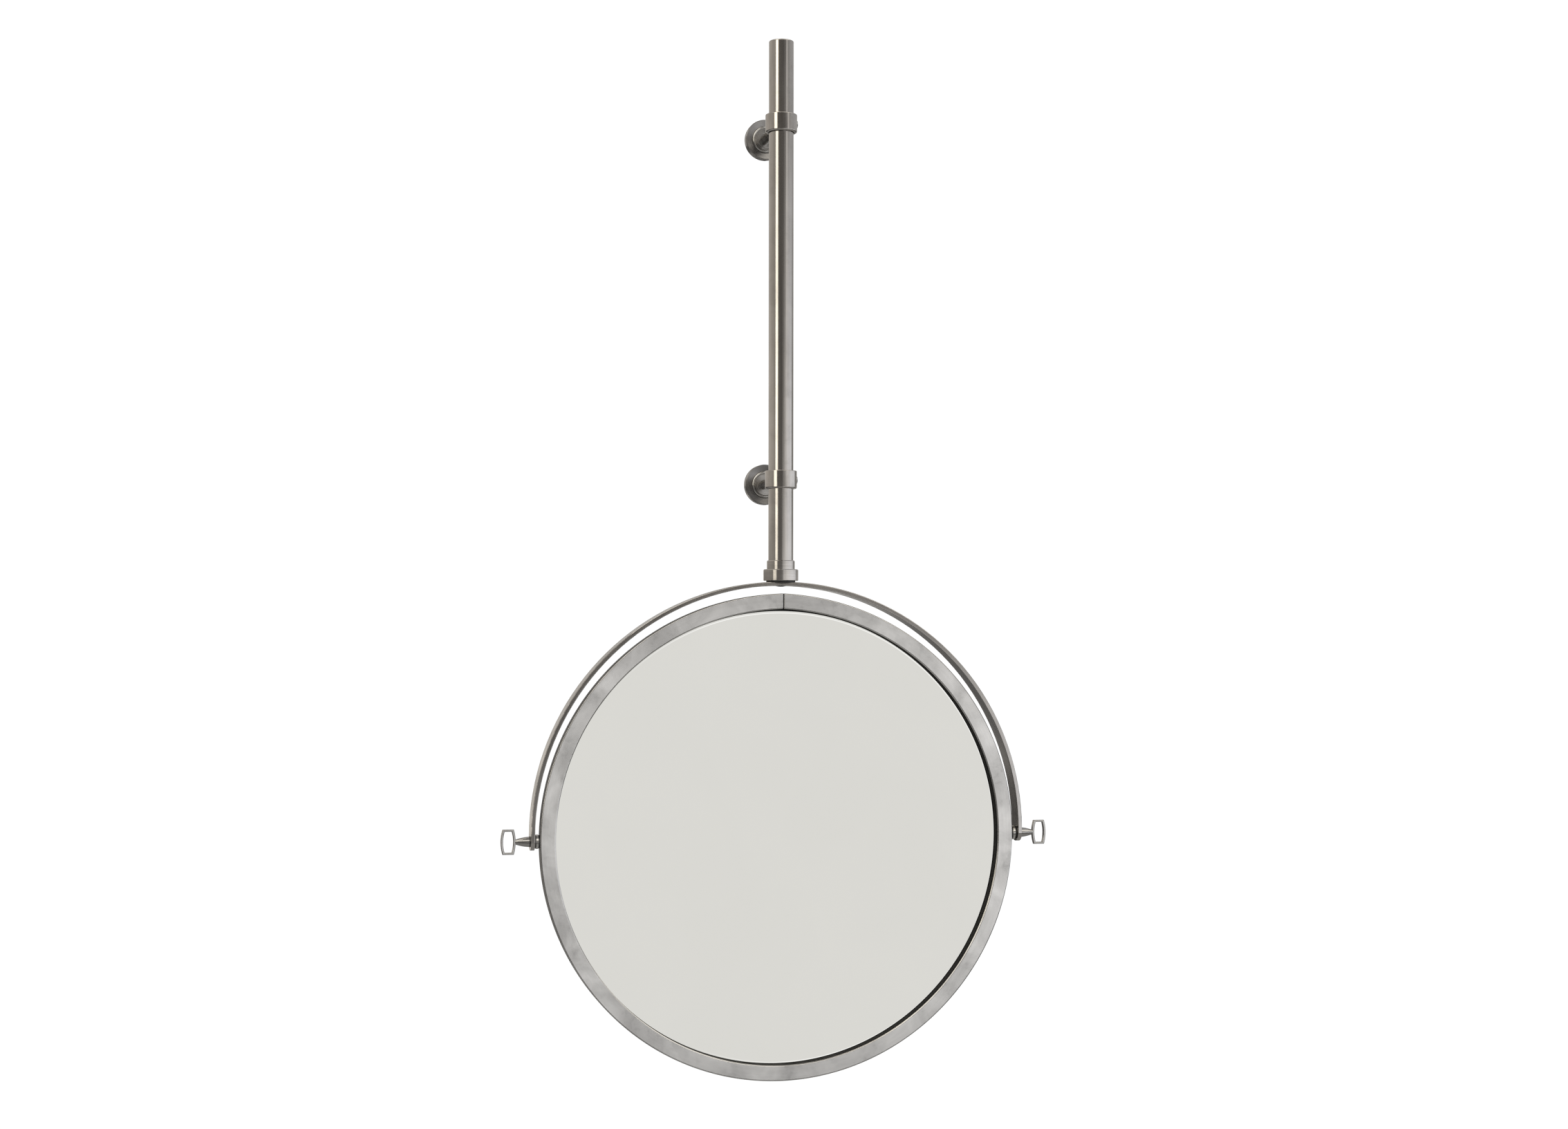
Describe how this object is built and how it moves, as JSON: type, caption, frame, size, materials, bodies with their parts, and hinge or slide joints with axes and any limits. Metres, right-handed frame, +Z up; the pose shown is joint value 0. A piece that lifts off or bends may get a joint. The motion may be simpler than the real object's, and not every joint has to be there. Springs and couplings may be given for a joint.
{
  "type": "extendable wall mirror",
  "caption": "Round framed mirror in a half-circle yoke, hung from a pole that slides up and down in wall brackets and locked by thumb keys.",
  "frame": {"origin": "centre of the upper wall plate's back face, on the wall, midway between its two screw holes", "axes": "+X to the user's right, +Y into the wall, +Z up; the mirror faces -Y"},
  "size_m": [0.5552, 0.0975, 1.037],
  "materials": {
    "brushed_steel": "brushed along its length, warm grey",
    "yoke_steel": "brushed round the bend",
    "frame_steel": "brushed round the ring, slightly clouded",
    "dark_steel": "turned and darkened",
    "polished_steel": "polished",
    "key_steel": "cast and polished",
    "screw_steel": "bright",
    "plated_steel": "zinc plated",
    "back_aluminium": "satin sheet",
    "silvered_glass": "silvered",
    "black_plastic": "satin nylon",
    "black_rubber": "matt",
    "foam": "matt foam sheet",
    "brass": "turned"
  },
  "bodies": {
    "wall_brackets": {"upper_wall_plate": "plated_steel", "upper_rosette": "dark_steel", "upper_grub_screw": "screw_steel", "upper_bead_ring": "polished_steel", "upper_arm": "dark_steel", "upper_collar": "brushed_steel", "upper_collar_liner": "black_plastic", "lower_wall_plate": "plated_steel", "lower_rosette": "dark_steel", "lower_grub_screw": "screw_steel", "lower_bead_ring": "polished_steel", "lower_arm": "dark_steel", "lower_collar": "brushed_steel", "lower_collar_liner": "black_plastic"},
    "pole": {"pole_tube": "brushed_steel", "pole_cap": "brushed_steel", "pole_plug": "plated_steel", "ferrule_ring": "polished_steel", "ferrule_cup": "polished_steel", "friction_washer": "black_plastic", "swivel_screw": "screw_steel"},
    "yoke": {"yoke_bar": "yoke_steel"},
    "mirror": {"mirror_frame": "frame_steel", "glass_gasket": "black_rubber", "mirror_glass": "silvered_glass", "glass_cushion": "foam", "back_panel": "back_aluminium", "snap_ring": "screw_steel", "pivot_inserts": "plated_steel", "pivot_washers": "black_plastic", "pivot_spacers": "polished_steel"},
    "left_key_washer": {"left_key_washer": "plated_steel"},
    "left_key": {"left_key": "key_steel", "left_key_stud": "screw_steel"},
    "right_key_washer": {"right_key_washer": "plated_steel"},
    "right_key": {"right_key": "key_steel", "right_key_stud": "screw_steel"},
    "upper_pad": {"upper_pressure_pad": "brass"},
    "upper_set_screw": {"upper_set_screw": "screw_steel"},
    "lower_pad": {"lower_pressure_pad": "brass"},
    "lower_set_screw": {"lower_set_screw": "screw_steel"}
  },
  "joints": [
    {"name": "pole_slide", "type": "slide", "parent": "wall_brackets", "child": "pole", "axis": [0, 0, 1], "range_m": [-0.065, 0.07]},
    {"name": "yoke_swivel", "type": "hinge", "parent": "pole", "child": "yoke", "pos_m": [0, -0.08, -0.4603], "axis": [0, 0, 1], "range_deg": [-13, 13]},
    {"name": "mirror_tilt", "type": "hinge", "parent": "yoke", "child": "mirror", "pos_m": [0, -0.08, -0.7135], "axis": [1, 0, 0], "range_deg": [-16, 16]},
    {"name": "left_key_travel", "type": "slide", "parent": "mirror", "child": "left_key_washer", "axis": [-1, 0, 0], "range_m": [0, 0.001]},
    {"name": "left_key_turn", "type": "hinge", "parent": "left_key_washer", "child": "left_key", "pos_m": [-0.27, -0.08, -0.7135], "axis": [-1, 0, 0], "range_deg": [0, 360]},
    {"name": "right_key_travel", "type": "slide", "parent": "mirror", "child": "right_key_washer", "axis": [1, 0, 0], "range_m": [0, 0.001]},
    {"name": "right_key_turn", "type": "hinge", "parent": "right_key_washer", "child": "right_key", "pos_m": [0.27, -0.08, -0.7135], "axis": [1, 0, 0], "range_deg": [0, 360]},
    {"name": "upper_pad_travel", "type": "slide", "parent": "wall_brackets", "child": "upper_pad", "axis": [1, 0, 0], "range_m": [0, 0.0008]},
    {"name": "upper_set_screw_turn", "type": "hinge", "parent": "upper_pad", "child": "upper_set_screw", "pos_m": [0.016, -0.08, 0], "axis": [1, 0, 0], "range_deg": [0, 360]},
    {"name": "lower_pad_travel", "type": "slide", "parent": "wall_brackets", "child": "lower_pad", "axis": [1, 0, 0], "range_m": [0, 0.0008]},
    {"name": "lower_set_screw_turn", "type": "hinge", "parent": "lower_pad", "child": "lower_set_screw", "pos_m": [0.016, -0.08, -0.358], "axis": [1, 0, 0], "range_deg": [0, 360]}
  ],
  "couplings": [
    {"joint": "left_key_turn", "follows": "left_key_travel", "rad_per_m": 6283.2},
    {"joint": "right_key_turn", "follows": "right_key_travel", "rad_per_m": 6283.2},
    {"joint": "upper_set_screw_turn", "follows": "upper_pad_travel", "rad_per_m": 7854},
    {"joint": "lower_set_screw_turn", "follows": "lower_pad_travel", "rad_per_m": 7854}
  ]
}
